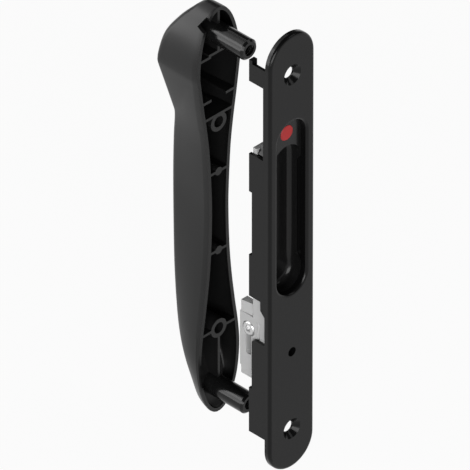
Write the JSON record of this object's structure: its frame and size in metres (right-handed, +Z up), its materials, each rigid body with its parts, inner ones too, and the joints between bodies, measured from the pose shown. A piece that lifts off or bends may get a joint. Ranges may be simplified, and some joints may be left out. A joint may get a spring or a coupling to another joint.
{
  "type": "sliding window lock",
  "caption": "Flush lock for a sliding window: slotted face plate with a sliding finger tray and latch block, and a hollow pull handle with tapped posts for the other side.",
  "frame": {"origin": "midway between the two plate screws, on the face of the plate that seats on the stile", "axes": "+Y from the plate through the stile to the handle, +Z up along the plate, +X across the plate"},
  "size_m": [0.0226, 0.0589, 0.1886],
  "materials": {
    "black_cast": "satin",
    "black_tray": "satin",
    "black_handle": "satin",
    "red_plastic": "gloss",
    "bare_zinc": "cast, satin",
    "screw_steel": "plated",
    "ball_steel": "polished"
  },
  "bodies": {
    "housing": {"face_plate": "black_cast", "upper_strap": "screw_steel", "lower_strap": "screw_steel", "pull_handle": "black_handle"},
    "slider": {"finger_tray": "black_tray", "red_indicator": "red_plastic", "drive_slide": "bare_zinc", "latch_block": "bare_zinc", "clamp_screw": "screw_steel", "clamp_washer": "screw_steel", "detent_ball_left": "ball_steel", "detent_ball_right": "ball_steel", "detent_spring": "screw_steel"}
  },
  "joints": [
    {"name": "tray_slide", "type": "slide", "parent": "housing", "child": "slider", "axis": [0, 0, 1], "range_m": [0, 0.012]}
  ]
}
